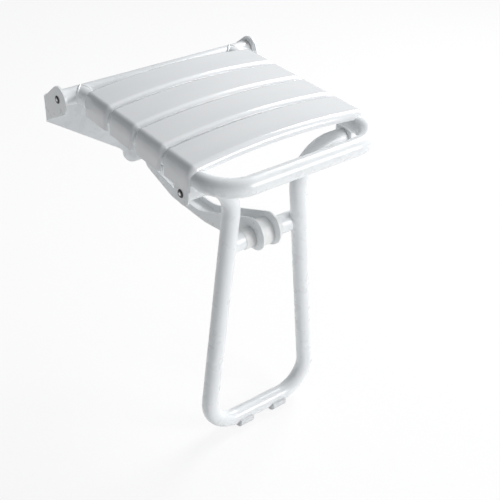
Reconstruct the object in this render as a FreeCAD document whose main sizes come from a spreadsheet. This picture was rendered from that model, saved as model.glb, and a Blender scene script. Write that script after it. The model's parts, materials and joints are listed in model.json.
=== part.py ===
"""Fold down wall seat: a steel wall bracket, a slatted tube seat, a drop leg and a guiding link.

Right-handed frame in millimetres, +Z up, +X to the right when facing the wall.
The wall is the plane Y = 0 and the seat reaches out to -Y. The origin lies midway between
the two upper wall slots, and every height in the sheet is counted from the floor.
The seat is modelled unfolded. It turns about the hinge axis, and the leg stays upright
because the link makes a parallelogram with the seat.
"""

import FreeCAD, Part
import Sketcher
import math
import os

doc = FreeCAD.newDocument("WallSeat")
sheet = doc.addObject("Spreadsheet::Sheet", "Sizes")

# Driving sizes in millimetres
SIZES = {
    # round tube, used by the seat frame, the hinge tube, the leg and its crossbar
    "tube_od": 25.0,
    "tube_wall": 2.0,
    # hinge axis of the seat, from the floor and from the wall
    "axis_height": 482.0,
    "axis_reach": 48.0,
    # wall plate with an ear bent forward at each end
    "bracket_width": 332.0,
    "plate_sheet": 3.0,
    "plate_bend": 6.0,
    "ear_nose": 20.5,
    "ear_lead": 4.5,
    "plate_top": 471.0,
    "plate_side_foot": 430.0,
    "slope_half": 47.0,
    "slope_foot": 349.0,
    "tongue_half": 41.0,
    "tongue_shoulder": 341.0,
    "tongue_foot": 318.5,
    "tongue_corner": 20.0,
    "slot_spacing": 250.0,
    "slot_height": 458.0,
    "slot_width": 9.0,
    "slot_length": 16.0,
    "low_hole_height": 335.0,
    "low_hole_od": 9.0,
    # seat frame, its side tubes set in from the ends of the hinge tube
    "frame_inset": 29.0,
    "front_reach": 340.0,
    "frame_corner": 45.0,
    "ear_gap": 5.0,
    # slats
    "slat_pitch": 66.0,
    "slat_gap": 4.0,
    "slat_front": 295.0,
    "slat_wall": 2.5,
    "slat_clear": 0.5,
    "slat_crest": 28.0,
    "crown_rise": 10.5,
    "lip_depth": 11.0,
    "end_drop": 15.5,
    "end_bulge": 32.0,
    "end_level": 2.0,
    "end_crease": 10.0,
    "slat_round": 9.0,
    "slat_rear_round": 6.0,
    "boss_od": 11.0,
    "rib_sheet": 2.0,
    "rib_pitch": 46.0,
    # slat screws
    "screw_od": 4.0,
    "screw_head_od": 8.0,
    "screw_head_deep": 2.4,
    "screw_bite": 5.0,
    "screw_fit": 0.1,
    # lugs under the side tubes, and the leg axis they carry
    "lug_reach": 262.5,
    "lug_drop": 32.6,
    "lug_outset": 7.0,
    "lug_sheet": 3.0,
    "lug_nose": 15.0,
    "lug_front": 17.0,
    # leg loop
    "leg_gap": 1.4,
    "leg_top_half": 51.3,
    "leg_top_bend": 54.0,
    "leg_foot_half": 96.8,
    "leg_foot_bend": 50.0,
    "foot_height": 4.0,
    "foot_wall": 4.5,
    "foot_round": 13.0,
    "foot_width": 24.0,
    "foot_spacing": 63.0,
    # crossbar below and behind the leg axis, the same distances as between the wall pivots
    "cross_drop": 115.5,
    "cross_back": 11.0,
    "cross_od": 28.0,
    "cross_inset": 6.0,
    "plain_collar_od": 30.0,
    "cone_collar_od": 46.0,
    "cone_collar_end_od": 30.0,
    "collar_long": 16.0,
    "collar_gap": 0.5,
    # pivot pins, with a black push-on ring outside
    "pin_od": 8.0,
    "pin_nose_od": 4.8,
    "ring_od": 11.6,
    "ring_deep": 1.6,
    "ring_edge": 0.5,
    "nose_proud": 0.6,
    "plug_long": 16.0,
    "plug_flange": 4.0,
    "bush_flange": 1.0,
    "pin_fit": 0.05,
    # link channel
    "link_width": 31.0,
    "link_sheet": 2.5,
    "link_side_gap": 1.0,
    "link_eye": 14.0,
    "heel_drop": 45.9,
    "heel_round": 16.0,
    "throat_drop": 40.9,
    "throat_round": 14.0,
    "bow_near": 63.0,
    "bow_far": 151.0,
    "bow_deep": 68.2,
    "bow_round": 60.0,
    "flange_near": 99.0,
    "flange_far": 136.0,
    "flange_high": 12.0,
    "cheek": 24.0,
    "cheek_lead": 6.5,
    "cheek_lift": 7.0,
    "web_stop": 22.0,
    "link_pin_od": 10.0,
    "link_pin_head_od": 16.0,
    "link_pin_head": 3.0,
    "sleeve_od": 16.0,
    "hub_od": 40.0,
    "hub_clear": 0.3,
    # cheeks welded to the wall plate for the rear link pin
    "yoke_sheet": 3.0,
    "yoke_nose": 15.0,
    "yoke_half_height": 26.0,
}

for row, (alias, number) in enumerate(SIZES.items(), start=1):
    sheet.set(f"A{row}", alias)
    sheet.set(f"B{row}", str(number))
    sheet.setAlias(f"B{row}", alias)
doc.recompute()


class Size:
    """A length that carries its number and the sheet expression that gives it."""

    def __init__(self, value, text):
        self.value = float(value)
        self.text = text

    def __add__(self, other):
        other = size_of(other)
        return Size(self.value + other.value, f"({self.text} + {other.text})")

    def __radd__(self, other):
        return size_of(other) + self

    def __sub__(self, other):
        other = size_of(other)
        return Size(self.value - other.value, f"({self.text} - {other.text})")

    def __rsub__(self, other):
        return size_of(other) - self

    def __mul__(self, factor):
        return Size(self.value * factor, f"({self.text} * {factor})")

    def __truediv__(self, divisor):
        return Size(self.value / divisor, f"({self.text} / {divisor})")

    def __neg__(self):
        return Size(-self.value, f"(0 mm - {self.text})")


def size_of(item):
    """Plain numbers count as millimetres."""
    if isinstance(item, Size):
        return item
    return Size(item, f"{item} mm")


def given(alias):
    """The sheet's value under this alias."""
    return Size(SIZES[alias], f"Sizes.{alias} * 1 mm")


def bind(target, path, size):
    """Tie one property of an object to the sheet."""
    target.setExpression(path, size_of(size).text)


# Bodies, sketches and features


def new_body(label, x=0, y=0, z=0):
    """A body whose origin sits at the given place, its height counted from the floor."""
    body = doc.addObject("PartDesign::Body", label)
    body.Label = label
    for path, size in (("x", x), ("y", y), ("z", z - given("slot_height"))):
        bind(body, f"Placement.Base.{path}", size)
    return body


def new_sketch(body, plane, offset=0):
    """An empty sketch on one of the body's own planes, moved along its normal."""
    sketch = body.newObject("Sketcher::SketchObject", f"{body.Label}_sketch")
    for feature in body.Origin.OriginFeatures:
        if feature.Role == plane:
            sketch.AttachmentSupport = [(feature, "")]
    sketch.MapMode = "FlatFace"
    bind(sketch, "AttachmentOffset.Base.z", offset)
    return sketch


def pin_point(sketch, geometry, place, x, y):
    """Hold one point of a sketch at its two distances from the origin."""
    for kind, size in (("DistanceX", size_of(x)), ("DistanceY", size_of(y))):
        index = sketch.addConstraint(Sketcher.Constraint(kind, geometry, place, size.value))
        sketch.setExpression(f"Constraints[{index}]", size.text)


def add_circle(sketch, x, y, radius):
    """A circle with its centre and radius bound."""
    x, y, radius = size_of(x), size_of(y), size_of(radius)
    centre = FreeCAD.Vector(x.value, y.value, 0)
    index = sketch.addGeometry(Part.Circle(centre, FreeCAD.Vector(0, 0, 1), radius.value), False)
    pin_point(sketch, index, 3, x, y)
    held = sketch.addConstraint(Sketcher.Constraint("Radius", index, radius.value))
    sketch.setExpression(f"Constraints[{held}]", radius.text)


def add_path(sketch, corners, closed=True):
    """Straight runs between corners, each corner (x, y) or (x, y, radius) for a tangent arc."""
    count = len(corners)
    places = [FreeCAD.Vector(size_of(c[0]).value, size_of(c[1]).value, 0) for c in corners]
    radii = [size_of(c[2]) if len(c) > 2 else None for c in corners]
    starts = list(places)
    ends = list(places)
    for i in range(count):
        if radii[i] is None:
            continue
        before = (places[i - 1] - places[i]).normalize()
        after = (places[(i + 1) % count] - places[i]).normalize()
        half = math.acos(max(-1.0, min(1.0, before.dot(after)))) / 2
        reach = radii[i].value / math.tan(half)
        ends[i] = places[i] + before * reach
        starts[i] = places[i] + after * reach
    runs = count if closed else count - 1
    lines = []
    for i in range(runs):
        line = Part.LineSegment(starts[i], ends[(i + 1) % count])
        lines.append(sketch.addGeometry(line, False))
    for i in range(count):
        last_open = not closed and i == count - 1
        first_open = not closed and i == 0
        if radii[i] is None:
            if last_open:
                pin_point(sketch, lines[i - 1], 2, corners[i][0], corners[i][1])
                continue
            pin_point(sketch, lines[i], 1, corners[i][0], corners[i][1])
            if not first_open:
                sketch.addConstraint(Sketcher.Constraint("Coincident", lines[i - 1], 2, lines[i], 1))
            continue
        before = (places[i - 1] - places[i]).normalize()
        after = (places[(i + 1) % count] - places[i]).normalize()
        middle = (before + after).normalize()
        half = math.acos(max(-1.0, min(1.0, before.dot(after)))) / 2
        centre = places[i] + middle * (radii[i].value / math.sin(half))
        arc_middle = centre - middle * radii[i].value
        arc_edge = Part.Arc(ends[i], arc_middle, starts[i])
        arc = sketch.addGeometry(arc_edge, False)
        turns_left = before.cross(after).z < 0
        first, second = (1, 2) if turns_left else (2, 1)
        sketch.addConstraint(Sketcher.Constraint("Tangent", lines[i - 1], 2, arc, first))
        sketch.addConstraint(Sketcher.Constraint("Tangent", arc, second, lines[i], 1))
        held = sketch.addConstraint(Sketcher.Constraint("Radius", arc, radii[i].value))
        sketch.setExpression(f"Constraints[{held}]", radii[i].text)
        corner = sketch.addGeometry(Part.Point(places[i]), True)
        pin_point(sketch, corner, 1, corners[i][0], corners[i][1])
        sketch.addConstraint(Sketcher.Constraint("PointOnObject", corner, 1, lines[i - 1]))
        sketch.addConstraint(Sketcher.Constraint("PointOnObject", corner, 1, lines[i]))


def add_arch(sketch, half, foot, rise, outer):
    """A closed shape between an arch over +-half and a level line at outer."""
    half, foot, rise, outer = size_of(half), size_of(foot), size_of(rise), size_of(outer)
    left = FreeCAD.Vector(-half.value, foot.value, 0)
    right = FreeCAD.Vector(half.value, foot.value, 0)
    crest = FreeCAD.Vector(0, foot.value + rise.value, 0)
    far_left = FreeCAD.Vector(-half.value, outer.value, 0)
    far_right = FreeCAD.Vector(half.value, outer.value, 0)
    arc = sketch.addGeometry(Part.Arc(right, crest, left), False)
    side_left = sketch.addGeometry(Part.LineSegment(left, far_left), False)
    level = sketch.addGeometry(Part.LineSegment(far_left, far_right), False)
    side_right = sketch.addGeometry(Part.LineSegment(far_right, right), False)
    sketch.addConstraint(Sketcher.Constraint("Coincident", arc, 2, side_left, 1))
    sketch.addConstraint(Sketcher.Constraint("Coincident", side_left, 2, level, 1))
    sketch.addConstraint(Sketcher.Constraint("Coincident", level, 2, side_right, 1))
    sketch.addConstraint(Sketcher.Constraint("Coincident", side_right, 2, arc, 1))
    pin_point(sketch, side_left, 1, -half, foot)
    pin_point(sketch, side_right, 2, half, foot)
    pin_point(sketch, side_left, 2, -half, outer)
    pin_point(sketch, side_right, 1, half, outer)
    top = sketch.addGeometry(Part.Point(crest), True)
    pin_point(sketch, top, 1, 0, foot + rise)
    sketch.addConstraint(Sketcher.Constraint("PointOnObject", top, 1, arc))


def pad(body, sketch, length, both_ways=False):
    feature = body.newObject("PartDesign::Pad", f"{body.Label}_pad")
    feature.Profile = sketch
    bind(feature, "Length", length)
    feature.SideType = "Symmetric" if both_ways else "One side"
    doc.recompute()
    return feature


def pocket(body, sketch, length=None, both_ways=False):
    """A cut, which has to take material away."""
    before = body.Shape.Volume
    feature = body.newObject("PartDesign::Pocket", f"{body.Label}_pocket")
    feature.Profile = sketch
    if length is None:
        feature.Type = "ThroughAll"
    else:
        bind(feature, "Length", length)
    feature.SideType = "Symmetric" if both_ways else "One side"
    doc.recompute()
    if not body.Shape.Volume < before:
        raise RuntimeError(f"{body.Label}: a pocket removed nothing")
    return feature


def pipe(body, profile, spine):
    feature = body.newObject("PartDesign::AdditivePipe", f"{body.Label}_pipe")
    feature.Profile = profile
    feature.Spine = (spine, [f"Edge{i + 1}" for i in range(len(spine.Shape.Edges))])
    feature.Mode = "Standard"
    feature.Transition = "Transformed"
    doc.recompute()
    return feature


def round_edges(body, radius, wanted):
    """Fillet the edges of the body's shape that the test picks."""
    base = body.Tip
    names = [f"Edge{i}" for i, edge in enumerate(base.Shape.Edges, start=1) if wanted(edge)]
    feature = body.newObject("PartDesign::Fillet", f"{body.Label}_fillet")
    feature.Base = (base, names)
    bind(feature, "Radius", radius)
    doc.recompute()
    return feature


def turned(label, corners, y, z, side=1):
    """A piece turned about X: corners are (distance along X, radius), mirrored by side."""
    body = new_body(label, y=y, z=z)
    profile = new_sketch(body, "XZ_Plane")
    add_path(profile, [(size_of(along) * side, size_of(radius)) for along, radius in corners])
    feature = body.newObject("PartDesign::Revolution", f"{label}_turn")
    feature.Profile = profile
    feature.ReferenceAxis = (profile, ["H_Axis"])
    feature.Angle = 360
    doc.recompute()
    return body


def ring_corners(start, end, outer, inner):
    """Corners of a plain ring, for a turned piece."""
    return [(start, inner), (end, inner), (end, outer), (start, outer)]


def cut(label, base, *tools):
    """Base without the tools, under the given label."""
    result = base
    for step, tool in enumerate(tools, start=1):
        before = result.Shape.Volume
        feature = doc.addObject("Part::Cut", f"{label}_cut_{step}")
        feature.Base = result
        feature.Tool = tool
        doc.recompute()
        if not feature.Shape.Volume < before:
            raise RuntimeError(f"{label}: cut {step} removed nothing")
        result = feature
    result.Label = label
    return result


SUB_PARTS = []


def keep(piece):
    """Note a finished sub-part, to be checked and written."""
    SUB_PARTS.append(piece)
    return piece


# Places that several pieces share

tube_r = given("tube_od") / 2
axis_z = given("axis_height")
axis_y = -given("axis_reach")
leg_y = axis_y - given("lug_reach")
leg_z = axis_z - given("lug_drop")
cross_z = leg_z - given("cross_drop")
cross_y = leg_y + given("cross_back")
yoke_z = axis_z - given("cross_drop")
yoke_y = axis_y + given("cross_back")
ear_inner = given("bracket_width") / 2 - given("plate_sheet")
hinge_half = ear_inner - given("ear_gap")
frame_half = hinge_half - given("frame_inset")
slat_half = frame_half + tube_r + given("slat_clear") + given("slat_wall")
lug_face = frame_half + given("lug_outset")
lug_inner = lug_face - given("lug_sheet")
leg_end = lug_inner - given("leg_gap")
link_half = given("link_width") / 2
pin_r = given("pin_od") / 2
nose_r = given("pin_nose_od") / 2
pin_hole_r = pin_r + given("pin_fit")
link_pin_r = given("link_pin_od") / 2
link_pin_hole_r = link_pin_r + given("pin_fit")
bore_r = tube_r - given("tube_wall")


# Wall plate: a sheet with a rounded tongue, and an ear bent forward at each end
plate = new_body("wall_plate")
outline = new_sketch(plate, "XZ_Plane")
half = given("bracket_width") / 2
tongue_start = given("slope_half")
add_path(outline, [
    (-half, given("plate_top")),
    (-half, given("plate_side_foot")),
    (-tongue_start, given("slope_foot")),
    (-given("tongue_half"), given("tongue_shoulder")),
    (-given("tongue_half"), given("tongue_foot"), given("tongue_corner")),
    (given("tongue_half"), given("tongue_foot"), given("tongue_corner")),
    (given("tongue_half"), given("tongue_shoulder")),
    (tongue_start, given("slope_foot")),
    (half, given("plate_side_foot")),
    (half, given("plate_top")),
])
pad(plate, outline, given("plate_sheet"))
for side in (-1, 1):
    # The nose is a disc a little ahead of the hinge axis, and the web joins it to the bend.
    face = half - given("plate_sheet") if side > 0 else -half
    nose_y = axis_y - given("ear_lead")
    reach = -nose_y.value
    bend = given("plate_bend")
    nose = given("ear_nose").value
    web = new_sketch(plate, "YZ_Plane", face)
    drop = axis_z.value - given("plate_side_foot").value
    low_line = math.hypot(reach, drop)
    low_turn = math.atan2(drop, reach) - math.asin(nose / low_line)
    low_run = math.sqrt(low_line ** 2 - nose ** 2)
    high = axis_z.value - given("plate_top").value
    high_line = math.hypot(reach - bend.value, high)
    high_turn = math.asin(nose / high_line) + math.atan2(high, reach - bend.value)
    high_run = math.sqrt(high_line ** 2 - nose ** 2)
    add_path(web, [
        (0, given("plate_top")),
        (-bend, given("plate_top")),
        (-(bend + high_run * math.cos(high_turn)),
         given("plate_top") + high_run * math.sin(high_turn)),
        (nose_y, axis_z),
        (-(size_of(low_run * math.cos(low_turn))),
         given("plate_side_foot") + low_run * math.sin(low_turn)),
        (0, given("plate_side_foot")),
    ])
    pad(plate, web, given("plate_sheet"))
    disc = new_sketch(plate, "YZ_Plane", face)
    add_circle(disc, nose_y, axis_z, given("ear_nose"))
    pad(plate, disc, given("plate_sheet"))
hinge_holes = new_sketch(plate, "YZ_Plane")
add_circle(hinge_holes, axis_y, axis_z, pin_r)
pocket(plate, hinge_holes, both_ways=True)
for side in (-1, 1):
    slot = new_sketch(plate, "XZ_Plane")
    middle = given("slot_spacing") * (0.5 * side)
    run = given("slot_length") / 2
    tall = given("slot_width") / 2
    add_path(slot, [
        (middle - run, given("slot_height") - tall, tall * 0.98),
        (middle + run, given("slot_height") - tall, tall * 0.98),
        (middle + run, given("slot_height") + tall, tall * 0.98),
        (middle - run, given("slot_height") + tall, tall * 0.98),
    ])
    pocket(plate, slot, both_ways=True)
low_hole = new_sketch(plate, "XZ_Plane")
add_circle(low_hole, 0, given("low_hole_height"), given("low_hole_od") / 2)
pocket(plate, low_hole, both_ways=True)


# Where the ears leave the wall face the sheet is bent, round inside and outside.
for side in (-1, 1):
    bend = given("plate_bend")
    sheet_in = given("plate_sheet")
    inner = bend - sheet_in
    inside_bend = new_sketch(plate, "XY_Plane", given("plate_side_foot") + bend)
    add_path(inside_bend, [
        ((half - bend - 1) * side, -sheet_in),
        ((half - sheet_in) * side, -sheet_in, inner),
        ((half - sheet_in) * side, -bend - 1),
        ((half - sheet_in / 2) * side, -bend - 1),
        ((half - sheet_in / 2) * side, -sheet_in / 2),
        ((half - bend - 1) * side, -sheet_in / 2),
    ])
    pad(plate, inside_bend, given("plate_top") - given("plate_side_foot") - bend)
    outside_bend = new_sketch(plate, "XY_Plane")
    add_path(outside_bend, [
        ((half - bend * 2) * side, 0),
        (half * side, 0, bend),
        (half * side, -bend * 2),
        ((half + 1) * side, -bend * 2),
        ((half + 1) * side, 1),
        ((half - bend * 2) * side, 1),
    ])
    pocket(plate, outside_bend, both_ways=True)
keep(plate)

# Yoke: two cheeks on a base, welded to the wall plate, that carry the rear link pin
yoke = new_body("link_yoke", y=yoke_y, z=yoke_z)
yoke_inner = link_half + given("link_side_gap")
back = given("axis_reach") - given("cross_back") - given("plate_sheet")
cheeks = new_sketch(yoke, "YZ_Plane")
add_path(cheeks, [
    (back, -given("yoke_half_height")),
    (back, given("yoke_half_height")),
    (-given("yoke_nose"), given("yoke_nose"), given("yoke_nose") * 0.99),
    (-given("yoke_nose"), -given("yoke_nose"), given("yoke_nose") * 0.99),
])
pad(yoke, cheeks, (yoke_inner + given("yoke_sheet")) * 2, both_ways=True)
inside = new_sketch(yoke, "XY_Plane")
add_path(inside, [
    (-yoke_inner, -given("yoke_nose") * 2),
    (yoke_inner, -given("yoke_nose") * 2),
    (yoke_inner, back - given("yoke_sheet"), given("yoke_sheet")),
    (-yoke_inner, back - given("yoke_sheet"), given("yoke_sheet")),
])
pocket(yoke, inside, both_ways=True)
yoke_hole = new_sketch(yoke, "YZ_Plane")
add_circle(yoke_hole, 0, 0, link_pin_r)
pocket(yoke, yoke_hole, both_ways=True)
keep(yoke)

# Rear link pin, with a flat head on the left and a retaining washer on the right
pin_reach = yoke_inner + given("yoke_sheet")
head_r = given("link_pin_head_od") / 2
head_end = pin_reach + given("link_pin_head")
keep(turned("link_pin", [
    (-head_end, 0),
    (head_end, 0),
    (head_end, link_pin_r),
    (-pin_reach, link_pin_r),
    (-pin_reach, head_r),
    (-head_end, head_r),
], yoke_y, yoke_z))
washer_end = pin_reach + given("link_pin_head") / 2
keep(turned("link_pin_washer", ring_corners(pin_reach, washer_end, head_r, link_pin_r),
            yoke_y, yoke_z))

# Hinge pins, their black rings outside the ears, and the nylon plugs that turn on them
SIDES = (("left", -1), ("right", 1))
plug_deep = hinge_half - given("plug_long")
plug_face = hinge_half + given("plug_flange")


def pivot_pin(label, inner_end, face, y, z, side):
    """A pin whose nose passes the outer face, and the ring pushed onto the nose."""
    ring_end = face + given("ring_deep")
    nose_end = ring_end + given("nose_proud")
    ring_r = given("ring_od") / 2
    edge = given("ring_edge")
    keep(turned(f"{label}_pin", [
        (inner_end, 0),
        (nose_end, 0),
        (nose_end, nose_r - edge),
        (nose_end - edge, nose_r),
        (face, nose_r),
        (face, pin_r),
        (inner_end, pin_r),
    ], y, z, side))
    keep(turned(f"{label}_ring", [
        (face, nose_r),
        (ring_end, nose_r),
        (ring_end, ring_r - edge),
        (ring_end - edge, ring_r),
        (face, ring_r),
    ], y, z, side))


for name, side in SIDES:
    pivot_pin(f"hinge_{name}", plug_deep, given("bracket_width") / 2, axis_y, axis_z, side)
    keep(turned(f"hinge_plug_{name}", [
        (plug_deep, pin_hole_r),
        (plug_face, pin_hole_r),
        (plug_face, tube_r),
        (hinge_half, tube_r),
        (hinge_half, bore_r),
        (plug_deep, bore_r),
    ], axis_y, axis_z, side))

# Seat: the hinge tube between the ears
keep(turned("hinge_tube", ring_corners(-hinge_half, hinge_half, tube_r, bore_r), axis_y, axis_z))

# Seat frame: one tube bent round two front corners, its ends coped onto the hinge tube
frame = new_body("seat_frame", y=axis_y, z=axis_z)
cope_start = given("tube_wall")
spine = new_sketch(frame, "XY_Plane")
add_path(spine, [
    (-frame_half, -cope_start),
    (-frame_half, -given("front_reach"), given("frame_corner")),
    (frame_half, -given("front_reach"), given("frame_corner")),
    (frame_half, -cope_start),
], closed=False)
section = new_sketch(frame, "XZ_Plane", cope_start)
add_circle(section, -frame_half, 0, tube_r)
add_circle(section, -frame_half, 0, bore_r)
doc.recompute()
pipe(frame, section, spine)
cope = new_sketch(frame, "YZ_Plane")
add_circle(cope, 0, 0, tube_r)
pocket(frame, cope, both_ways=True)

# Slat places, counted from the rear
SLAT_COUNT = 4
slat_deep = given("slat_pitch") - given("slat_gap")
slat_rears = []
for number in range(SLAT_COUNT):
    steps_from_front = SLAT_COUNT - 1 - number
    slat_rears.append(given("slat_front") - slat_deep - given("slat_pitch") * steps_from_front)

screw_r = given("screw_od") / 2
screw_hole_r = screw_r + given("screw_fit")
screw_holes = new_sketch(frame, "XY_Plane")
for rear in slat_rears:
    for side in (-1, 1):
        add_circle(screw_holes, frame_half * side, -(rear + slat_deep / 2), screw_hole_r)
pocket(frame, screw_holes, both_ways=True)
keep(frame)


def crown_drop(distance):
    """How far the crown has fallen at this distance from the middle."""
    return given("crown_rise") * (size_of(distance).value / slat_half.value) ** 2


def slat_block(label, rear, inset):
    """The slat's outer form, or with an inset the hollow inside it."""
    block = new_body(label, y=axis_y - rear, z=axis_z)
    low = -given("end_drop")
    wide = slat_half - inset
    front_edge = -slat_deep + inset
    plan = new_sketch(block, "XY_Plane", low)
    add_path(plan, [
        (-wide, -size_of(inset)),
        (-wide, front_edge),
        (wide, front_edge),
        (wide, -size_of(inset)),
    ])
    pad(block, plan, given("end_drop") + given("slat_crest") + 5)
    crown = new_sketch(block, "XZ_Plane")
    edge = slat_half + 5
    drop = crown_drop(edge)
    crest = given("slat_crest") - inset
    add_arch(crown, edge, crest - drop, drop, crest + 10)
    pocket(block, crown, both_ways=True)

    # Each end bulges: it leaves the crown at a crease and turns down into an upright foot.
    level = -given("end_level")
    bulge = given("end_bulge") - inset
    ends = new_sketch(block, "XZ_Plane")
    for side in (-1, 1):
        add_path(ends, [
            (wide * side, level),
            (wide * side, level + bulge, bulge * 0.99),
            ((wide - bulge) * side, level + bulge),
            ((wide - bulge) * side, level + bulge + 15),
            ((wide + 10) * side, level + bulge + 15),
            ((wide + 10) * side, level),
        ])
    pocket(block, ends, both_ways=True)

    def is_crease(edge):
        box = edge.BoundBox
        return box.XLength < 0.01 and box.ZLength < 0.01 and box.ZMin > 5

    def is_rim(edge, place):
        box = edge.BoundBox
        return box.YLength < 0.01 and abs(box.YMin - place) < 0.01 and box.ZMax > low.value + 0.1

    front_place = size_of(front_edge).value
    rear_place = -size_of(inset).value
    round_edges(block, given("end_crease") - inset, is_crease)
    round_edges(block, given("slat_round") - inset, lambda edge: is_rim(edge, front_place))
    round_edges(block, given("slat_rear_round") - inset, lambda edge: is_rim(edge, rear_place))
    return block


def slat_relief(label, rear):
    """What is open under a slat: the middle below the lip, the side tubes and the screws."""
    relief = new_body(label, y=axis_y - rear, z=axis_z)
    below = -given("end_drop") - 5
    lip = new_sketch(relief, "XZ_Plane")
    drop = crown_drop(frame_half)
    lip_crest = given("slat_crest") - given("lip_depth")
    add_arch(lip, frame_half, lip_crest - drop, drop, below)
    pad(relief, lip, given("slat_pitch") * 3, both_ways=True)
    for side in (-1, 1):
        middle = frame_half * side
        tube = new_sketch(relief, "XZ_Plane")
        add_circle(tube, middle, 0, tube_r)
        pad(relief, tube, given("slat_pitch") * 3, both_ways=True)
        mouth = new_sketch(relief, "XZ_Plane")
        add_path(mouth, [
            (middle - tube_r, below),
            (middle + tube_r, below),
            (middle + tube_r, 0),
            (middle - tube_r, 0),
        ])
        pad(relief, mouth, given("slat_pitch") * 3, both_ways=True)
    holes = new_sketch(relief, "XY_Plane")
    for side in (-1, 1):
        add_circle(holes, frame_half * side, -slat_deep / 2, screw_r)
    pad(relief, holes, tube_r + given("screw_bite"))
    return relief


for number, rear in enumerate(slat_rears, start=1):
    outer = slat_block(f"slat_{number}_outer", rear, 0)
    inner = slat_block(f"slat_{number}_hollow", rear, given("slat_wall"))
    bosses = new_sketch(inner, "XY_Plane", -given("end_drop"))
    for side in (-1, 1):
        add_circle(bosses, frame_half * side, -slat_deep / 2, given("boss_od") / 2)
    pocket(inner, bosses, both_ways=True)
    ribs = new_sketch(inner, "XY_Plane", -given("end_drop"))
    for place in (-2, -1, 0, 1, 2):
        middle = given("rib_pitch") * place
        half_rib = given("rib_sheet") / 2
        add_path(ribs, [
            (middle - half_rib, -slat_deep),
            (middle + half_rib, -slat_deep),
            (middle + half_rib, 0),
            (middle - half_rib, 0),
        ])
    pocket(inner, ribs, both_ways=True)
    relief = slat_relief(f"slat_{number}_relief", rear)
    keep(cut(f"slat_{number}", outer, inner, relief))
    for name, side in SIDES:
        screw = new_body(f"slat_{number}_screw_{name}", frame_half * side,
                         axis_y - rear - slat_deep / 2, axis_z)
        head = new_sketch(screw, "XY_Plane", -tube_r - given("screw_head_deep"))
        add_circle(head, 0, 0, given("screw_head_od") / 2)
        pad(screw, head, given("screw_head_deep"))
        shank = new_sketch(screw, "XY_Plane", -tube_r)
        add_circle(shank, 0, 0, screw_r)
        pad(screw, shank, tube_r * 2 + given("screw_bite"))
        keep(screw)

# Lugs welded under the side tubes, with the pins that carry the leg
for name, side in SIDES:
    lug = new_body(f"leg_lug_{name}", y=leg_y, z=leg_z)
    start = lug_inner if side > 0 else -lug_face
    outline = new_sketch(lug, "YZ_Plane", start)
    nose = given("lug_nose")
    add_path(outline, [
        (nose, given("lug_drop")),
        (nose, -nose, nose * 0.96),
        (-given("lug_front"), -nose, nose * 0.9),
        (-given("lug_front"), given("lug_drop")),
    ])
    pad(lug, outline, given("lug_sheet"))
    cope = new_sketch(lug, "XZ_Plane")
    add_circle(cope, frame_half * side, given("lug_drop"), tube_r)
    pocket(lug, cope, both_ways=True)
    hole = new_sketch(lug, "YZ_Plane")
    add_circle(hole, 0, 0, pin_r)
    pocket(lug, hole, both_ways=True)
    keep(lug)
    pivot_pin(f"leg_{name}", leg_end - given("plug_long"), lug_face, leg_y, leg_z, side)

# Leg: one tube, its upper ends bent out to the lugs and its foot bent into a bar
foot_z = given("foot_height") + tube_r


def leg_pipe(label, radius):
    """A round rod along the leg's centre line."""
    rod = new_body(label, y=leg_y)
    path = new_sketch(rod, "XZ_Plane")
    add_path(path, [
        (-leg_end, leg_z),
        (-given("leg_top_half"), leg_z, given("leg_top_bend")),
        (-given("leg_foot_half"), foot_z, given("leg_foot_bend")),
        (given("leg_foot_half"), foot_z, given("leg_foot_bend")),
        (given("leg_top_half"), leg_z, given("leg_top_bend")),
        (leg_end, leg_z),
    ], closed=False)
    profile = new_sketch(rod, "YZ_Plane", -leg_end)
    add_circle(profile, 0, leg_z, radius)
    doc.recompute()
    pipe(rod, profile, path)
    return rod


leg_outer = leg_pipe("leg_outer", tube_r)
leg_bore = leg_pipe("leg_bore", bore_r)
keep(cut("leg_frame", leg_outer, leg_bore))

# Nylon bushes in the leg's upper ends
bush_face = leg_end + given("bush_flange")
for name, side in SIDES:
    keep(turned(f"leg_bush_{name}", [
        (leg_end - given("plug_long"), pin_hole_r),
        (bush_face, pin_hole_r),
        (bush_face, tube_r),
        (leg_end, tube_r),
        (leg_end, bore_r),
        (leg_end - given("plug_long"), bore_r),
    ], leg_y, leg_z, side))

# Crossbar between the uprights, coped onto them, with two collars that centre the link
cross_r = given("cross_od") / 2
splay = given("leg_foot_half").value - given("leg_top_half").value
way_down = given("cross_drop").value / (leg_z.value - foot_z.value)
cross_half = given("leg_top_half") + splay * way_down - given("cross_inset")
crossbar = turned("crossbar_blank", ring_corners(-cross_half, cross_half, cross_r,
                                                 cross_r - given("tube_wall")), cross_y, cross_z)
keep(cut("crossbar", crossbar, leg_outer))
collar_start = link_half + given("collar_gap")
collar_stop = collar_start + given("collar_long")
keep(turned("collar_left", ring_corners(-collar_start, -collar_stop,
                                        given("plain_collar_od") / 2, cross_r), cross_y, cross_z))
keep(turned("collar_right", [
    (collar_start, cross_r),
    (collar_stop, cross_r),
    (collar_stop, given("cone_collar_end_od") / 2),
    (collar_start, given("cone_collar_od") / 2),
], cross_y, cross_z))

# Rubber saddles under the bar of the leg, with a flat sole
saddle_half = tube_r + given("foot_wall")
for name, side in SIDES:
    foot = new_body(f"foot_{name}_blank", given("foot_spacing") * (0.5 * side), leg_y)
    saddle = new_sketch(foot, "YZ_Plane")
    add_path(saddle, [
        (-saddle_half, foot_z),
        (-saddle_half, 0, given("foot_round")),
        (saddle_half, 0, given("foot_round")),
        (saddle_half, foot_z),
    ])
    pad(foot, saddle, given("foot_width"), both_ways=True)
    keep(cut(f"foot_{name}", foot, leg_outer))

# Link: an open-topped channel, bowed down between its pivots so that it clears the
# hinge tube when folded. Distances are forward of the rear pivot, and up from it.


def forward(distance):
    """A distance out from the wall, as the sketch counts it."""
    return -size_of(distance)


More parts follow.
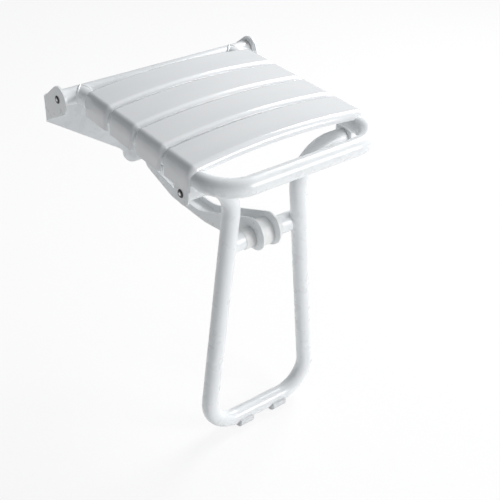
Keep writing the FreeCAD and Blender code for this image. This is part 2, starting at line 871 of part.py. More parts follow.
def tangent_corner(start_x, start_y, upper):
    """Where the line from this point along the front cheek meets the upright at the nose."""
    reach = given("lug_reach").value + given("cheek_lead").value - start_x
    rise = given("cheek_lift").value - given("lug_drop").value - start_y
    cheek = given("cheek").value
    turn = math.asin(cheek / math.hypot(reach, rise))
    angle = math.atan2(rise, reach) + (turn if upper else -turn)
    run = reach + cheek
    return start_x + run, start_y + run * math.tan(angle), angle


bow_deep = given("bow_deep")
flange_top = given("flange_high") - bow_deep
eye = given("link_eye")
cheek = given("cheek")
high_x, high_y, high_angle = tangent_corner(given("flange_far").value, flange_top.value, True)
low_x, low_y, low_angle = tangent_corner(given("bow_far").value, -bow_deep.value, False)
link = new_body("link_arm", y=yoke_y, z=yoke_z)
side_form = new_sketch(link, "YZ_Plane")
add_path(side_form, [
    (forward(-eye), eye, eye * 0.99),
    (forward(-eye), -given("heel_drop"), given("heel_round")),
    (forward(given("bow_near")), -bow_deep, given("bow_round")),
    (forward(given("bow_far")), -bow_deep, given("bow_round")),
    (forward(low_x), low_y, cheek * 0.99),
    (forward(high_x), high_y, cheek * 0.99),
    (forward(given("flange_far")), flange_top, given("bow_round")),
    (forward(given("flange_near")), flange_top, given("bow_round")),
    (forward(eye), -given("throat_drop"), given("throat_round")),
    (forward(eye), eye, eye * 0.99),
])
pad(link, side_form, given("link_width"), both_ways=True)
channel = new_sketch(link, "YZ_Plane")
web = given("link_sheet")
web_end = given("lug_reach") - given("web_stop")
web_run = web_end.value - given("bow_far").value
web_high = web_run * math.tan(low_angle) + web.value - bow_deep.value
past = cheek * 3
add_path(channel, [
    (forward(-eye - 5), eye + 5),
    (forward(-eye - 5), -eye),
    (forward(-eye + web), -eye),
    (forward(-eye + web), -given("heel_drop") + web, given("heel_round") - web),
    (forward(given("bow_near")), -bow_deep + web, given("bow_round") - web),
    (forward(given("bow_far")), -bow_deep + web, given("bow_round") - web),
    (forward(web_end), web_high),
    (forward(web_end), -bow_deep - past),
    (forward(given("lug_reach") + past), -bow_deep - past),
    (forward(given("lug_reach") + past), eye + 5),
])
pocket(link, channel, given("link_width") - given("link_sheet") * 2, both_ways=True)
hub_bore = cross_r + given("hub_clear")
eyes = new_sketch(link, "YZ_Plane")
add_circle(eyes, 0, 0, link_pin_hole_r)
add_circle(eyes, forward(given("lug_reach")), -given("lug_drop"), hub_bore)
pocket(link, eyes, both_ways=True)
keep(link)
between = link_half - given("link_sheet")
keep(turned("link_sleeve", ring_corners(-between, between, given("sleeve_od") / 2,
                                        link_pin_hole_r), yoke_y, yoke_z))
keep(turned("link_hub", ring_corners(-between, between, given("hub_od") / 2, hub_bore),
            cross_y, cross_z))

# Check every object, then write one file per sub-part
doc.recompute()
for item in doc.Objects:
    if "Invalid" in item.State or "Error" in item.State:
        raise RuntimeError(f"{item.Label} failed: {item.State}")
os.makedirs("parts", exist_ok=True)
for piece in SUB_PARTS:
    shape = piece.Shape
    if shape.isNull() or not shape.isValid():
        raise RuntimeError(f"{piece.Label} has no valid shape")
    shape.exportStep(f"parts/{piece.Label}.step")
    print(piece.Label, len(shape.Solids), round(shape.Volume))
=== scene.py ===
# %% [markdown]
# # A fold down wall seat
# The seat folds up flat against the wall, and its leg hangs on it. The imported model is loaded
# as a fixed frame, so every piece made here goes exactly where the solids are, in metres. The
# solids already have the right tubes and slats, so Blender's work is the finishes, the rounded
# sheet edges, the welds and the small turned parts.

# %% Load the frame
import json
import math

import bmesh
import bpy
from mathutils import Matrix, Vector


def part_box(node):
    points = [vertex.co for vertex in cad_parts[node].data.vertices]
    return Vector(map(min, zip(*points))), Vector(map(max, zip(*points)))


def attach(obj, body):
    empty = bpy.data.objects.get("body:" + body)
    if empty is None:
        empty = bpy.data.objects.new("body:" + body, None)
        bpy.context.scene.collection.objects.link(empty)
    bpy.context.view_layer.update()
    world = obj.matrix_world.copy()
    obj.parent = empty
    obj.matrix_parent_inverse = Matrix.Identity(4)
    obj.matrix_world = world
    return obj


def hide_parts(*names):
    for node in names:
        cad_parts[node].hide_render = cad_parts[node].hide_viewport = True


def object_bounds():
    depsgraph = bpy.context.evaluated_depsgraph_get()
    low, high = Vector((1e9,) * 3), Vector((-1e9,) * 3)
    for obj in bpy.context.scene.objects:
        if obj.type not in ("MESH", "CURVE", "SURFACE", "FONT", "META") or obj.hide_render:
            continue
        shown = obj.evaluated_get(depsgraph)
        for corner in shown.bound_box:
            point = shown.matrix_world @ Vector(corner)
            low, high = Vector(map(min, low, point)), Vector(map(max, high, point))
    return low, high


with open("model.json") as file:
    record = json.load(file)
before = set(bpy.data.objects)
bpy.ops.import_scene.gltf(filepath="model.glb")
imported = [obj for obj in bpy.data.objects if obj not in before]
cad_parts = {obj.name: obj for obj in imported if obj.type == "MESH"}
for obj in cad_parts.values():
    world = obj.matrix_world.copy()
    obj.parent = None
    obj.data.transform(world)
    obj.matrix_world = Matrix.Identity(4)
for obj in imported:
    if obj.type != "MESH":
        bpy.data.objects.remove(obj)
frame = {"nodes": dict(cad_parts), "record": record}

nodes = frame["nodes"]
cad_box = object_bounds()
print("solids:", len(nodes), "box:", cad_box)

# %% [markdown]
# The camera stands where the photographer stood: left of the seat and above it, about 1.3
# metres away. The long lens keeps the upright lines nearly parallel.

# %% Camera
PHOTO_SIZE = 500
SENSOR = 36.0
FOCAL_PIXELS = 953.8
CAMERA_PLACE = Vector((-0.6920, -1.1686, 0.6067))
CAMERA_YAW = math.radians(-37.9)
CAMERA_PITCH = math.radians(34.4)
CAMERA_ROLL = math.radians(1.6)
CAMERA_FAR = 60

backward = Vector((
    math.sin(CAMERA_YAW) * math.cos(CAMERA_PITCH),
    -math.cos(CAMERA_YAW) * math.cos(CAMERA_PITCH),
    math.sin(CAMERA_PITCH),
))
level_right = (-backward).cross(Vector((0, 0, 1))).normalized()
level_up = level_right.cross(-backward)
right = math.cos(CAMERA_ROLL) * level_right + math.sin(CAMERA_ROLL) * level_up
up = -math.sin(CAMERA_ROLL) * level_right + math.cos(CAMERA_ROLL) * level_up
turn = Matrix((right, up, backward)).transposed().to_4x4()

camera_data = bpy.data.cameras.new("photo_camera")
camera_data.sensor_width = SENSOR
camera_data.lens = FOCAL_PIXELS * SENSOR / PHOTO_SIZE
camera_data.clip_end = CAMERA_FAR
camera = bpy.data.objects.new("photo_camera", camera_data)
camera.matrix_world = Matrix.Translation(CAMERA_PLACE) @ turn
bpy.context.scene.collection.objects.link(camera)
bpy.context.scene.camera = camera
print("lens:", round(camera_data.lens, 1), "mm")

# %% [markdown]
# Every finish starts the same way: an empty node tree with one Principled shader. Patterns are
# read in Object coordinates. The solids keep their place in their own meshes, so those
# coordinates are metres in the room, and one noise scale looks the same on every piece.

# %% A finish from noise
NOISE_LOW = 0.3
NOISE_HIGH = 0.7
TINT_START = 0.35
TINT_END = 0.65


def new_material(name):
    """An empty node material with a Principled shader on its output."""
    material = bpy.data.materials.new(name)
    material.use_nodes = True
    tree = material.node_tree
    tree.nodes.clear()
    output = tree.nodes.new("ShaderNodeOutputMaterial")
    shader = tree.nodes.new("ShaderNodeBsdfPrincipled")
    tree.links.new(shader.outputs["BSDF"], output.inputs["Surface"])
    return material, tree, shader


def noise(tree, scale, detail=3, stretch=(1, 1, 1)):
    """A noise in object space, with its own stretch."""
    place = tree.nodes.new("ShaderNodeTexCoord")
    mapping = tree.nodes.new("ShaderNodeMapping")
    mapping.inputs["Scale"].default_value = stretch
    texture = tree.nodes.new("ShaderNodeTexNoise")
    texture.inputs["Scale"].default_value = scale
    texture.inputs["Detail"].default_value = detail
    tree.links.new(place.outputs["Object"], mapping.inputs["Vector"])
    tree.links.new(mapping.outputs["Vector"], texture.inputs["Vector"])
    return texture.outputs["Fac"]


def spread(tree, value, low, high):
    """Map the middle of a noise onto a wanted range."""
    node = tree.nodes.new("ShaderNodeMapRange")
    node.inputs["From Min"].default_value = NOISE_LOW
    node.inputs["From Max"].default_value = NOISE_HIGH
    node.inputs["To Min"].default_value = low
    node.inputs["To Max"].default_value = high
    tree.links.new(value, node.inputs["Value"])
    return node.outputs["Result"]


def tint(tree, shader, value, one, other):
    """Colour that drifts between two near shades."""
    ramp = tree.nodes.new("ShaderNodeValToRGB")
    ramp.color_ramp.elements[0].position = TINT_START
    ramp.color_ramp.elements[0].color = (*one, 1)
    ramp.color_ramp.elements[1].position = TINT_END
    ramp.color_ramp.elements[1].color = (*other, 1)
    tree.links.new(value, ramp.inputs["Fac"])
    tree.links.new(ramp.outputs["Color"], shader.inputs["Base Color"])


def gloss(tree, shader, value, limits):
    """Roughness that follows a noise between two limits."""
    tree.links.new(spread(tree, value, *limits), shader.inputs["Roughness"])


def relief(tree, shader, layers):
    """Stack bumps, each layer a noise and its height in metres."""
    normal = None
    for value, height in layers:
        bump = tree.nodes.new("ShaderNodeBump")
        bump.inputs["Strength"].default_value = 1
        bump.inputs["Distance"].default_value = height
        tree.links.new(value, bump.inputs["Height"])
        if normal:
            tree.links.new(normal, bump.inputs["Normal"])
        normal = bump.outputs["Normal"]
    tree.links.new(normal, shader.inputs["Normal"])


finishes = {}
print("finish helpers ready")

# %% [markdown]
# The tubes, the wall plate and the link wear a white powder coat. The powder melts into a skin
# with a fine orange peel, a millimetre or two across and a few hundredths high, and it is never
# quite even in gloss. Two noises give the peel, a slow one gives the change of gloss.

# %% Powder coat
COAT_LIGHT = (0.86, 0.875, 0.885)
COAT_SHADE = (0.83, 0.848, 0.86)
COAT_DRIFT = 14
COAT_GLOSS_DRIFT = 60
COAT_ROUGHNESS = (0.24, 0.36)
PEEL_SIZE = 520
PEEL_HEIGHT = 0.00006
FINE_SIZE = PEEL_SIZE * 4
FINE_HEIGHT = PEEL_HEIGHT * 0.2

coat, tree, shader = new_material("white_powder_coat")
tint(tree, shader, noise(tree, COAT_DRIFT), COAT_SHADE, COAT_LIGHT)
gloss(tree, shader, noise(tree, COAT_GLOSS_DRIFT), COAT_ROUGHNESS)
relief(tree, shader, [(noise(tree, PEEL_SIZE, 2), PEEL_HEIGHT),
                      (noise(tree, FINE_SIZE, 1), FINE_HEIGHT)])
shader.inputs["Coat Weight"].default_value = 0.25
shader.inputs["Coat Roughness"].default_value = 0.12
finishes["white_coat"] = coat
print("powder coat:", len(tree.nodes), "nodes")

# %% [markdown]
# The slats are moulded in a glossy white plastic. The melt ran along each slat, so the faint
# waves in the skin and the drift in colour are stretched along X. On top lie hair scratches
# from cleaning, far finer than the waves.

# %% Slat plastic
SLAT_LIGHT = (0.875, 0.885, 0.895)
SLAT_SHADE = (0.845, 0.857, 0.87)
SLAT_DRIFT = 16
SLAT_GLOSS_DRIFT = 90
SLAT_ROUGHNESS = (0.15, 0.24)
FLOW = (0.25, 1, 1)
WIPED = (1, 0.06, 1)
WAVE_SIZE = 45
WAVE_HEIGHT = 0.00012
SCRATCH_SIZE = 900
SCRATCH_HEIGHT = 0.000006

slat_gloss, tree, shader = new_material("glossy_slat_plastic")
tint(tree, shader, noise(tree, SLAT_DRIFT, 2, FLOW), SLAT_SHADE, SLAT_LIGHT)
gloss(tree, shader, noise(tree, SLAT_GLOSS_DRIFT, 4, FLOW), SLAT_ROUGHNESS)
relief(tree, shader, [(noise(tree, WAVE_SIZE, 1, FLOW), WAVE_HEIGHT),
                      (noise(tree, SCRATCH_SIZE, 2, WIPED), SCRATCH_HEIGHT)])
shader.inputs["Coat Weight"].default_value = 0.5
shader.inputs["Coat Roughness"].default_value = 0.06
finishes["slat_plastic"] = slat_gloss
print("slat plastic:", len(tree.nodes), "nodes")

# %% [markdown]
# The hub, collars, plugs and bushes are satin nylon. Nylon is a little warmer and duller than
# the coat, scatters light inside, and shows fine turning marks, which are rings round X.

# %% Nylon
NYLON_LIGHT = (0.84, 0.842, 0.835)
NYLON_SHADE = (0.80, 0.805, 0.80)
NYLON_DRIFT = 120
NYLON_GLOSS_DRIFT = 300
NYLON_ROUGHNESS = (0.38, 0.5)
TURNED = (1, 0.03, 0.03)
TURNING_SIZE = 1600
TURNING_HEIGHT = 0.00001
SCATTER_REACH = 0.003

nylon, tree, shader = new_material("satin_white_nylon")
tint(tree, shader, noise(tree, NYLON_DRIFT), NYLON_SHADE, NYLON_LIGHT)
gloss(tree, shader, noise(tree, NYLON_GLOSS_DRIFT), NYLON_ROUGHNESS)
relief(tree, shader, [(noise(tree, TURNING_SIZE, 1, TURNED), TURNING_HEIGHT)])
shader.inputs["Subsurface Weight"].default_value = 0.08
shader.inputs["Subsurface Radius"].default_value = (SCATTER_REACH, SCATTER_REACH, SCATTER_REACH)
finishes["white_nylon"] = nylon
print("nylon:", len(tree.nodes), "nodes")

# %% [markdown]
# Pins, screws and the washer are zinc plated steel. Plated steel is a metal with cloudy
# patches, where the passivation took more or less, and it is rougher in the darker ones.

# %% Zinc plate
ZINC_LIGHT = (0.74, 0.745, 0.75)
ZINC_SHADE = (0.60, 0.61, 0.63)
CLOUD_SIZE = 420
ZINC_ROUGHNESS = (0.42, 0.26)
ZINC_GRAIN = 2400
GRAIN_HEIGHT = 0.000008

zinc, tree, shader = new_material("zinc_plated_steel")
clouds = noise(tree, CLOUD_SIZE, 4)
tint(tree, shader, clouds, ZINC_SHADE, ZINC_LIGHT)
gloss(tree, shader, clouds, ZINC_ROUGHNESS)
relief(tree, shader, [(noise(tree, ZINC_GRAIN, 2), GRAIN_HEIGHT)])
shader.inputs["Metallic"].default_value = 1
finishes["steel"] = zinc
print("zinc plate:", len(tree.nodes), "nodes")

# %% [markdown]
# The push-on rings are black nylon and the saddles under the leg are soft grey rubber. Both
# are plain, so a fine grain and a drift in gloss are all the detail the real ones show.

# %% Ring nylon and rubber
BLACK_LIGHT = (0.03, 0.03, 0.033)
BLACK_SHADE = (0.016, 0.016, 0.018)
BLACK_DRIFT = 500
BLACK_GLOSS_DRIFT = 700
BLACK_ROUGHNESS = (0.32, 0.45)
BLACK_GRAIN = 3000
RUBBER_LIGHT = (0.76, 0.77, 0.78)
RUBBER_SHADE = (0.70, 0.71, 0.72)
RUBBER_DRIFT = 160
RUBBER_GLOSS_DRIFT = 400
RUBBER_ROUGHNESS = (0.6, 0.75)
RUBBER_GRAIN = 1500
RUBBER_HEIGHT = 0.00003

black, tree, shader = new_material("black_ring_nylon")
tint(tree, shader, noise(tree, BLACK_DRIFT), BLACK_SHADE, BLACK_LIGHT)
gloss(tree, shader, noise(tree, BLACK_GLOSS_DRIFT), BLACK_ROUGHNESS)
relief(tree, shader, [(noise(tree, BLACK_GRAIN, 1), GRAIN_HEIGHT)])
finishes["black_nylon"] = black

rubber, tree, shader = new_material("pale_grey_rubber")
tint(tree, shader, noise(tree, RUBBER_DRIFT), RUBBER_SHADE, RUBBER_LIGHT)
gloss(tree, shader, noise(tree, RUBBER_GLOSS_DRIFT), RUBBER_ROUGHNESS)
relief(tree, shader, [(noise(tree, RUBBER_GRAIN, 2), RUBBER_HEIGHT)])
finishes["grey_rubber"] = rubber
print("finishes:", sorted(finishes))

# %% [markdown]
# Each solid takes the finish that its record names. Pieces that stand in for a solid later
# take the same finish through the same table, so nothing is named twice.

# %% Dress the solids
slots = {entry["node"]: entry["material_slot"] for entry in frame["record"]["subparts"]}
bodies = {node: body for body, group in frame["record"]["behaviour"]["bodies"].items()
          for node in group}
for name, solid in nodes.items():
    solid.data.materials.clear()
    solid.data.materials.append(finishes[slots[name]])
print("dressed solids:", len(nodes))

# %% [markdown]
# New pieces are written from a bmesh straight into an object at the origin. Smooth shading is
# cut at edges sharper than 35 degrees. The softened sheet parts below also get a Weighted Normal
# modifier, which lets the large flat faces rule the shading, so a rounded edge reads as an edge
# and the flat beside it stays flat.

# %% Writing a piece
SHARP = math.radians(35)
FLAT = math.radians(1)
MERGE = 1e-6
SOLID_MERGE = 2e-6


def piece_from(name, bm, slot=None, body=None):
    """Write a bmesh into a new object that sits at the origin."""
    for face in bm.faces:
        face.smooth = True
    for edge in bm.edges:
        edge.smooth = len(edge.link_faces) == 2 and edge.calc_face_angle() < SHARP
    mesh = bpy.data.meshes.new(name)
    bm.to_mesh(mesh)
    bm.free()
    piece = bpy.data.objects.new(name, mesh)
    bpy.context.scene.collection.objects.link(piece)
    if slot:
        mesh.materials.append(finishes[slot])
    if body:
        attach(piece, body)
    return piece


def stand_in(name, bm, node):
    """A piece in the place of a solid, with that solid's finish and body."""
    piece = piece_from(name, bm, slots[node], bodies[node])
    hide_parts(node)
    return piece


def round_sharp_edges(bm, width, segments=3):
    """Round every edge that is sharper than the shading limit."""
    sharp = [edge for edge in bm.edges
             if len(edge.link_faces) == 2 and edge.calc_face_angle() > SHARP]
    bmesh.ops.bevel(bm, geom=sharp, offset=width, affect="EDGES", segments=segments,
                    profile=0.5, material=-1, clamp_overlap=True)


print("piece helpers ready")

# %% [markdown]
# The wall plate, the yoke, the lugs and the link are cut from sheet. The coat flows round cut
# edges and leaves them soft. A solid's mesh is loose triangles, so a copy is merged, its flat
# faces are joined again, and then the sharp edges are bevelled by under a millimetre.

# %% Sheet parts with soft edges
def softened(name, node, width):
    """A merged copy of a solid with its edges rounded."""
    bm = bmesh.new()
    bm.from_mesh(nodes[node].data)
    bmesh.ops.remove_doubles(bm, verts=bm.verts, dist=SOLID_MERGE)
    bmesh.ops.dissolve_limit(bm, angle_limit=FLAT, verts=bm.verts, edges=bm.edges)
    round_sharp_edges(bm, width)
    piece = stand_in(name, bm, node)
    weighted = piece.modifiers.new("even_flats", "WEIGHTED_NORMAL")
    weighted.keep_sharp = True
    return piece


SHEET_EDGE = 0.0006
RUBBER_EDGE = 0.0013

for name, node in (
    ("bracket_plate", "wall_plate"),
    ("bracket_yoke", "link_yoke"),
    ("seat_lug_left", "leg_lug_left"),
    ("seat_lug_right", "leg_lug_right"),
    ("guiding_link", "link_arm"),
):
    piece = softened(name, node, SHEET_EDGE)
    print(name, len(piece.data.polygons), "faces")

# %% [markdown]
# The leg stands on two rubber saddles that wrap the underside of its bar. They are soft
# mouldings, so the same recipe is used with a much larger rounding.

# %% Rubber saddles
for side in ("left", "right"):
    piece = softened(f"saddle_{side}", f"foot_{side}", RUBBER_EDGE)
    print(piece.name, len(piece.data.polygons), "faces")

# %% [markdown]
# Pins, rings, bushes, collars and the hub are all round parts off a lathe. Each is drawn as
# half a section, a few points of distance along the axis and radius, and spun once round.
# A short profile with its corners bevelled afterwards is easier to change than a long one.

# %% A lathe
LATHE_STEPS = 48
SCREW_STEPS = 36
TURNED_EDGE = 0.0003
MM = 0.001
ALONG_X = Vector((1, 0, 0))


def lathe(section, at, towards, edge=TURNED_EDGE, steps=LATHE_STEPS):
    """Spin a section, given in mm along and out, round a line from a point."""
    bm = bmesh.new()
    corners = [bm.verts.new((along * MM, 0, out * MM)) for along, out in section]
    lines = [bm.edges.new(pair) for pair in zip(corners, corners[1:])]
    if section[0][1] > 0:
        lines.append(bm.edges.new((corners[-1], corners[0])))
    bmesh.ops.spin(bm, geom=corners + lines, cent=(0, 0, 0), axis=ALONG_X,
                   angle=math.tau, steps=steps, use_merge=True)
    bmesh.ops.remove_doubles(bm, verts=bm.verts, dist=MERGE)
    bmesh.ops.recalc_face_normals(bm, faces=bm.faces)
    if edge:
        round_sharp_edges(bm, edge, 2)
    place = Matrix.Translation(at) @ ALONG_X.rotation_difference(towards).to_matrix().to_4x4()
    bmesh.ops.transform(bm, matrix=place, verts=bm.verts)
    return bm


def corners_of(node):
    """The lowest and highest corners of a solid."""
    return (Vector(corner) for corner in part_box(node))


def outward(node):
    """Where a round part starts near the middle, which way it points, and its length in mm."""
    low, high = corners_of(node)
    middle = (low + high) / 2
    side = 1 if middle.x > 0 else -1
    start = Vector((low.x if side > 0 else high.x, middle.y, middle.z))
    return start, ALONG_X * side, (high.x - low.x) / MM


def from_left(node):
    """The left end of a round part's axis, and its length in mm."""
    low, high = corners_of(node)
    middle = (low + high) / 2
    return Vector((low.x, middle.y, middle.z)), (high.x - low.x) / MM


print("lathe:", LATHE_STEPS, "steps")

# %% [markdown]
# Each outer pivot is an 8 mm pin whose thin nose comes through the sheet, with a black ring
# pushed onto it. In the photograph that is a small black circle with a bright centre. The nose
# is domed, and the ring's face falls away to its rim.

# %% Pivot pins and their rings
PIN_R = 4
NOSE_R = 2.4
NOSE_LONG = 2.2
RING_R = 5.8
NOSE_EDGE = 0.0002
RING_EDGE = 0.00015

for place in ("hinge_left", "hinge_right", "leg_left", "leg_right"):
    at, towards, long = outward(f"{place}_pin")
    face = long - NOSE_LONG
    section = [(0, 0), (0, PIN_R), (face, PIN_R), (face, NOSE_R), (long - 0.5, NOSE_R),
               (long - 0.15, NOSE_R * 0.7), (long, 0)]
    stand_in(f"{place}_pivot", lathe(section, at, towards, NOSE_EDGE), f"{place}_pin")
    at, towards, long = outward(f"{place}_ring")
    section = [(0, NOSE_R), (long * 0.7, NOSE_R), (long, NOSE_R + 0.9), (long, RING_R - 1.4),
               (long * 0.45, RING_R), (0, RING_R)]
    stand_in(f"{place}_push_ring", lathe(section, at, towards, RING_EDGE), f"{place}_ring")
print("pivots: 4 pins, 4 rings")

# %% [markdown]
# Nylon plugs close the ends of the hinge tube and bushes close the leg's. Their flanges are
# the thin light rings between tube and sheet. A shallow groove in the flange is where the
# mould parted.

# %% Plugs and bushes
TUBE_R = 12.5
BORE_R = 10.5
PIN_CLEAR = 4.05
PLUG_FLANGE = 4
BUSH_FLANGE = 1

for node, flange in (("hinge_plug_left", PLUG_FLANGE), ("hinge_plug_right", PLUG_FLANGE),
                     ("leg_bush_left", BUSH_FLANGE), ("leg_bush_right", BUSH_FLANGE)):
    at, towards, long = outward(node)
    under = long - flange
    section = [(0, PIN_CLEAR), (long, PIN_CLEAR), (long, 7), (long - 0.4, 7.3), (long - 0.4, 8.2),
               (long, 8.5), (long, TUBE_R), (under, TUBE_R), (under, BORE_R), (0, BORE_R)]
    stand_in(f"{node}_moulded", lathe(section, at, towards), node)
print("plugs and bushes: 4")

# %% [markdown]
# On the crossbar the link turns on a wide hub. A thin plain collar keeps it central on the left
# and a tall coned one on the right, where the photograph shows the bar swelling to the sheet.

# %% Hub and collars
HUB_R = 20
HUB_BORE = 14.3
HUB_STEP = HUB_R - 0.5
BAR_R = 14
COLLAR_R = 15
CONE_R = 23
CONE_END_R = 15.2

at, long = from_left("link_hub")
section = [(0, HUB_BORE), (long, HUB_BORE), (long, HUB_STEP), (long - 2.2, HUB_STEP),
           (long - 2.6, HUB_R), (2.6, HUB_R), (2.2, HUB_STEP), (0, HUB_STEP)]
stand_in("crossbar_hub", lathe(section, at, ALONG_X), "link_hub")

at, towards, long = outward("collar_left")
section = [(0, BAR_R), (long, BAR_R), (long, COLLAR_R - 0.6), (long - 0.7, COLLAR_R),
           (0, COLLAR_R)]
stand_in("plain_collar", lathe(section, at, towards), "collar_left")

at, towards, long = outward("collar_right")
section = [(0, BAR_R), (long, BAR_R), (long, CONE_END_R - 0.6), (long - 0.6, CONE_END_R),
           (2.2, CONE_R - 1.2), (1.4, CONE_R), (0, CONE_R)]
stand_in("coned_collar", lathe(section, at, towards), "collar_right")
print("hub and collars: 3")

# %% [markdown]
# The rear of the link turns on a 10 mm pin between the yoke's cheeks. Its domed head is on the
# left, and on the right a washer is held by the swaged end.

# %% Rear link pin
LINK_PIN_R = 5
LINK_PIN_CLEAR = 5.05
LINK_HEAD_R = 8
LINK_HEAD_DEEP = 3
LINK_PIN_EDGE = 0.00025
WASHER_EDGE = 0.0001
SLEEVE_R = 8
WAIST_R = SLEEVE_R - 0.4

at, long = from_left("link_pin")
section = [(0, 0), (0.1, 3.6), (0.7, 6.3), (1.6, 7.7), (2.4, LINK_HEAD_R),
           (LINK_HEAD_DEEP, LINK_HEAD_R), (LINK_HEAD_DEEP, LINK_PIN_R),
           (long - 0.9, LINK_PIN_R), (long, 4.1), (long, 2.2), (long - 0.7, 1.4),
           (long - 0.7, 0)]
stand_in("rear_link_pin", lathe(section, at, ALONG_X, LINK_PIN_EDGE), "link_pin")

at, towards, long = outward("link_pin_washer")
section = [(0, LINK_PIN_R), (long, LINK_PIN_R), (long, LINK_HEAD_R - 0.4),
           (long - 0.3, LINK_HEAD_R), (0, LINK_HEAD_R)]
stand_in("rear_washer", lathe(section, at, towards, WASHER_EDGE), "link_pin_washer")

at, long = from_left("link_sleeve")
section = [(0, LINK_PIN_CLEAR), (long, LINK_PIN_CLEAR), (long, SLEEVE_R), (long - 7, SLEEVE_R),
           (long - 7.5, WAIST_R), (7.5, WAIST_R), (7, SLEEVE_R), (0, SLEEVE_R)]
stand_in("spacer_sleeve", lathe(section, at, ALONG_X), "link_sleeve")
print("rear pivot: pin, washer, sleeve")

# %% [markdown]
# Each slat is held by two screws from below, through the side tubes. The head is a pan with a
# six lobed socket: a round recess whose wall is pushed in and out six times on the way round.

# %% Slat screws
HEAD_R = 4
HEAD_DEEP = 2.4
SOCKET_R = 1.7
SOCKET_DEEP = 1.5
SHANK_R = 2
LOBE = 0.14
LOBES = 6
WALL_NEAR = 1e-5
SOCKET_ZONE = 2
SLAT_COUNT = 4

for number in range(1, SLAT_COUNT + 1):
    for side in ("left", "right"):
        node = f"slat_{number}_screw_{side}"
        low, high = corners_of(node)
        long = (high.z - low.z) / MM
        section = [(0, 0), (0, SHANK_R), (long - HEAD_DEEP, SHANK_R), (long - HEAD_DEEP, HEAD_R),
                   (long - 1.3, HEAD_R), (long - 0.4, 3.2), (long, 2.2), (long, SOCKET_R),
                   (long - SOCKET_DEEP, SOCKET_R), (long - SOCKET_DEEP, 0)]
        at = Vector(((low.x + high.x) / 2, (low.y + high.y) / 2, high.z))
        bm = lathe(section, at, Vector((0, 0, -1)), 0, SCREW_STEPS)
        for vert in bm.verts:
            out = Vector((vert.co.x - at.x, vert.co.y - at.y, 0))
            on_wall = abs(out.length - SOCKET_R * MM) < WALL_NEAR
            if on_wall and vert.co.z < low.z + SOCKET_ZONE * MM:
                vert.co += out * LOBE * math.cos(LOBES * math.atan2(out.y, out.x))
        stand_in(f"slat_{number}_pan_screw_{side}", bm, node)
print("slat screws: 8")

# %% [markdown]
# The tubes and lugs are welded, and under the coat a weld is a low bead with ripples, one for
# each step of the torch. A curve with a round bevel is the easy way: the curve follows the
# joint, and every other point is a little thinner. It is turned into a mesh at the end.

# %% Weld beads
BEAD_R = 0.0019
LUG_BEAD_R = 0.0016
BAR_BEAD_R = 0.0013
YOKE_BEAD_R = 0.0017
BEAD_STEP = 0.0013
BEAD_ROUND = 3
RIPPLE = 0.82


def bead(name, points, body, closed=False, radius=BEAD_R):
    """A rippled round bead along points that lie close together."""
    line = bpy.data.curves.new(name, "CURVE")
    line.dimensions = "3D"
    line.bevel_depth = radius
    line.bevel_resolution = BEAD_ROUND
    line.use_fill_caps = True
    spline = line.splines.new("POLY")
    spline.points.add(len(points) - 1)
    for number, (point, place) in enumerate(zip(spline.points, points)):
        point.co = (*place, 1)
        point.radius = 1 if number % 2 else RIPPLE
    spline.use_cyclic_u = closed
    holder = bpy.data.objects.new(name, line)
    swept = bpy.data.meshes.new_from_object(holder)
    bm = bmesh.new()
    bm.from_mesh(swept)
    bmesh.ops.remove_doubles(bm, verts=bm.verts, dist=MERGE)
    bmesh.ops.recalc_face_normals(bm, faces=bm.faces)
    bpy.data.objects.remove(holder)
    return piece_from(name, bm, "white_coat", body)


def run(start, end):
    """Points along a straight weld."""
    start, end = Vector(start), Vector(end)
    count = max(2, int((end - start).length / BEAD_STEP))
    return [start.lerp(end, number / count) for number in range(count + 1)]


print("bead step:", BEAD_STEP)

# %% [markdown]
# Where a side tube meets the hinge tube the joint is a saddle: both are 25 mm tubes, so at
# each point round the side tube the bead reaches back by the hinge tube's own curve.

# %% Welds on the seat frame
tube_low, tube_high = corners_of("hinge_tube")
hinge = (tube_low + tube_high) / 2
tube_r = (tube_high.z - tube_low.z) / 2
FRAME_HALF = 0.129
ROUND_STEPS = 60

for side, sign in (("left", -1), ("right", 1)):
    points = []
    for step in range(ROUND_STEPS):
        angle = math.tau * step / ROUND_STEPS
        across = math.sin(angle) * tube_r
        back = math.sqrt(max(tube_r ** 2 - across ** 2, 0))
        points.append((sign * FRAME_HALF + math.cos(angle) * tube_r, hinge.y - back,
                       hinge.z + across))
    bead(f"hinge_weld_{side}", points, "seat", closed=True)
print("hinge welds: 2")

# %% [markdown]
# The lugs are welded along the side tubes, a bead on each face of the sheet. Each bead lies
# where that face meets the round of the tube.

# %% Welds on the lugs
LUG_BEAD_END = 0.002

for side, sign in (("left", -1), ("right", 1)):
    low, high = corners_of(f"leg_lug_{side}")
    for face, x in (("inner", high.x if sign < 0 else low.x),
                    ("outer", low.x if sign < 0 else high.x)):
        off = abs(x) - FRAME_HALF
        z = hinge.z - math.sqrt(tube_r ** 2 - off ** 2)
        points = run((x, low.y + LUG_BEAD_END, z), (x, high.y - LUG_BEAD_END, z))
        bead(f"lug_weld_{side}_{face}", points, "seat", radius=LUG_BEAD_R)
print("lug welds: 4")

# %% [markdown]
# The crossbar is set back behind the leg's uprights, so its weld runs only round the part that
# touches them: half a turn that starts on top, passes the front and ends underneath.

# %% Welds on the crossbar
bar_low, bar_high = corners_of("crossbar")
bar = (bar_low + bar_high) / 2
bar_r = (bar_high.z - bar_low.z) / 2
leg_low, leg_high = corners_of("leg_frame")
upright_y = (leg_low.y + leg_high.y) / 2
upright_r = (leg_high.y - leg_low.y) / 2
UPRIGHT_TOP = Vector((0.0513, 0, -0.0086))
UPRIGHT_FOOT = Vector((0.0968, 0, -0.4415))

